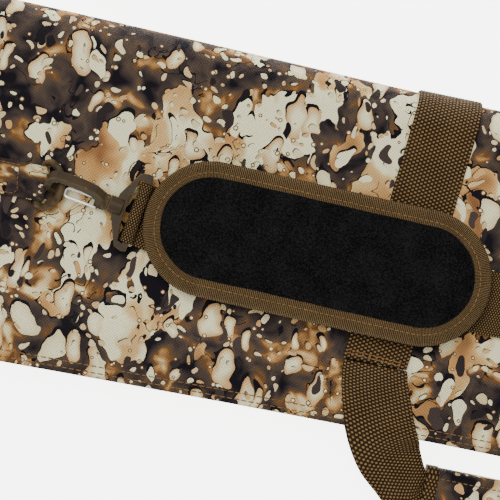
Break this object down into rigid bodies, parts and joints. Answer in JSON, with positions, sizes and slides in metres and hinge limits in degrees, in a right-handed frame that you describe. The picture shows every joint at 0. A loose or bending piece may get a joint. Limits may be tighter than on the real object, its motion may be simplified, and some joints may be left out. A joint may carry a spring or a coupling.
{
  "type": "snowboard bag",
  "caption": "Long padded board bag in printed fabric that opens along a zipper, with webbing carry handles and a clip-on shoulder strap with a sliding pad.",
  "frame": {"origin": "under the middle of the plan box, grip included, on the surface that the back lies on", "axes": "+X along the bag, +Y towards the folded long edge, +Z out of the front face"},
  "size_m": [1.6, 0.3399, 0.0875],
  "materials": {
    "printed_fabric": "printed coarse weave, matt, own abstract camouflage print",
    "brown_webbing": "coarse plain-weave webbing, matt",
    "binding_tape": "ribbed tape, slight sheen",
    "black_neoprene": "fine knitted face, very matt",
    "lining": "thin smooth woven lining",
    "foam": "closed-cell foam, matt",
    "zipper_black": "woven tape and nylon coil",
    "zipper_metal": "dark satin coating",
    "brown_plastic": "moulded, fine satin grain",
    "steel_wire": "bright drawn wire"
  },
  "bodies": {
    "root": {"back_shell": "printed_fabric", "back_foam": "foam", "back_foam_hem_left": "foam", "back_foam_hem_right": "foam", "back_foam_fold_edge": "foam", "back_foam_left_end": "foam", "back_foam_right_end": "foam", "back_lining": "lining", "back_zipper_tape": "zipper_black", "back_zipper_coil": "zipper_black", "back_band_left": "brown_webbing", "back_band_right": "brown_webbing"},
    "front": {"front_shell": "printed_fabric", "front_foam": "foam", "front_foam_hem_left": "foam", "front_foam_hem_right": "foam", "front_foam_fold_edge": "foam", "front_foam_left_end": "foam", "front_foam_right_end": "foam", "front_lining": "lining", "front_zipper_tape": "zipper_black", "front_zipper_coil": "zipper_black", "front_band_left": "brown_webbing", "front_band_right": "brown_webbing", "left_ring_tab": "printed_fabric", "right_ring_tab": "printed_fabric", "left_hook_base": "brown_plastic", "right_hook_base": "brown_plastic", "shoulder_strap": "brown_webbing", "strap_adjuster": "brown_plastic"},
    "front_handle": {"front_handle": "brown_webbing", "grip_wrap": "printed_fabric"},
    "back_handle": {"back_handle": "brown_webbing"},
    "pad": {"pad_cover": "black_neoprene", "pad_foam": "foam", "pad_backing": "binding_tape", "pad_binding": "binding_tape", "pad_keeper_left": "brown_webbing", "pad_keeper_right": "brown_webbing"},
    "left_slider": {"left_zipper_slider": "zipper_metal"},
    "left_pull": {"left_pull_tab": "zipper_metal"},
    "left_ring": {"left_d_ring": "brown_plastic"},
    "left_hook": {"left_hook": "brown_plastic"},
    "left_gate": {"left_hook_gate": "steel_wire"},
    "right_slider": {"right_zipper_slider": "zipper_metal"},
    "right_pull": {"right_pull_tab": "zipper_metal"},
    "right_ring": {"right_d_ring": "brown_plastic"},
    "right_hook": {"right_hook": "brown_plastic"},
    "right_gate": {"right_hook_gate": "steel_wire"}
  },
  "joints": [
    {"name": "front_opening", "type": "hinge", "parent": "root", "child": "front", "pos_m": [0, 0.1735, 0.0321], "axis": [-1, 0, 0], "range_deg": [0, 160]},
    {"name": "front_handle_swing", "type": "hinge", "parent": "front", "child": "front_handle", "pos_m": [0, -0.043, 0.0602], "axis": [-1, 0, 0], "range_deg": [0, 100]},
    {"name": "back_handle_swing", "type": "hinge", "parent": "root", "child": "back_handle", "pos_m": [0, -0.043, 0.004], "axis": [1, 0, 0], "range_deg": [0, 80]},
    {"name": "pad_slide", "type": "slide", "parent": "front", "child": "pad", "axis": [0.9998, -0.0185, 0], "range_m": [0, 0.06]},
    {"name": "left_slider_travel", "type": "slide", "parent": "root", "child": "left_slider", "axis": [-1, 0, 0], "range_m": [0, 0.17]},
    {"name": "left_pull_swing", "type": "hinge", "parent": "left_slider", "child": "left_pull", "pos_m": [-0.0105, -0.086, 0.0321], "axis": [0, 0, 1], "range_deg": [0, 110]},
    {"name": "left_ring_tilt", "type": "hinge", "parent": "front", "child": "left_ring", "pos_m": [-0.3864, 0.0355, 0.0669], "axis": [0, -1, 0], "range_deg": [-2, 2]},
    {"name": "left_hook_swivel", "type": "hinge", "parent": "front", "child": "left_hook", "pos_m": [-0.33418, 0.03193, 0.07263], "axis": [-0.9853, 0.1561, 0.0698], "range_deg": [-8, 2]},
    {"name": "left_gate_press", "type": "hinge", "parent": "left_hook", "child": "left_gate", "pos_m": [-0.34294, 0.02984, 0.06829], "axis": [0.0886, 0.8153, -0.5722], "range_deg": [0, 20], "stiffness_Nm_per_rad": 0.002},
    {"name": "right_slider_travel", "type": "slide", "parent": "root", "child": "right_slider", "axis": [1, 0, 0], "range_m": [0, 0.17]},
    {"name": "right_pull_swing", "type": "hinge", "parent": "right_slider", "child": "right_pull", "pos_m": [0.0105, -0.086, 0.0321], "axis": [0, 0, -1], "range_deg": [0, 110]},
    {"name": "right_ring_tilt", "type": "hinge", "parent": "front", "child": "right_ring", "pos_m": [0.3864, 0.0355, 0.0669], "axis": [0, 1, 0], "range_deg": [-2, 2]},
    {"name": "right_hook_swivel", "type": "hinge", "parent": "front", "child": "right_hook", "pos_m": [0.33418, 0.03193, 0.07263], "axis": [0.9853, 0.1561, 0.0698], "range_deg": [-2, 8]},
    {"name": "right_gate_press", "type": "hinge", "parent": "right_hook", "child": "right_gate", "pos_m": [0.34294, 0.02984, 0.06829], "axis": [-0.0886, 0.8153, -0.5722], "range_deg": [-20, 0], "stiffness_Nm_per_rad": 0.002}
  ]
}
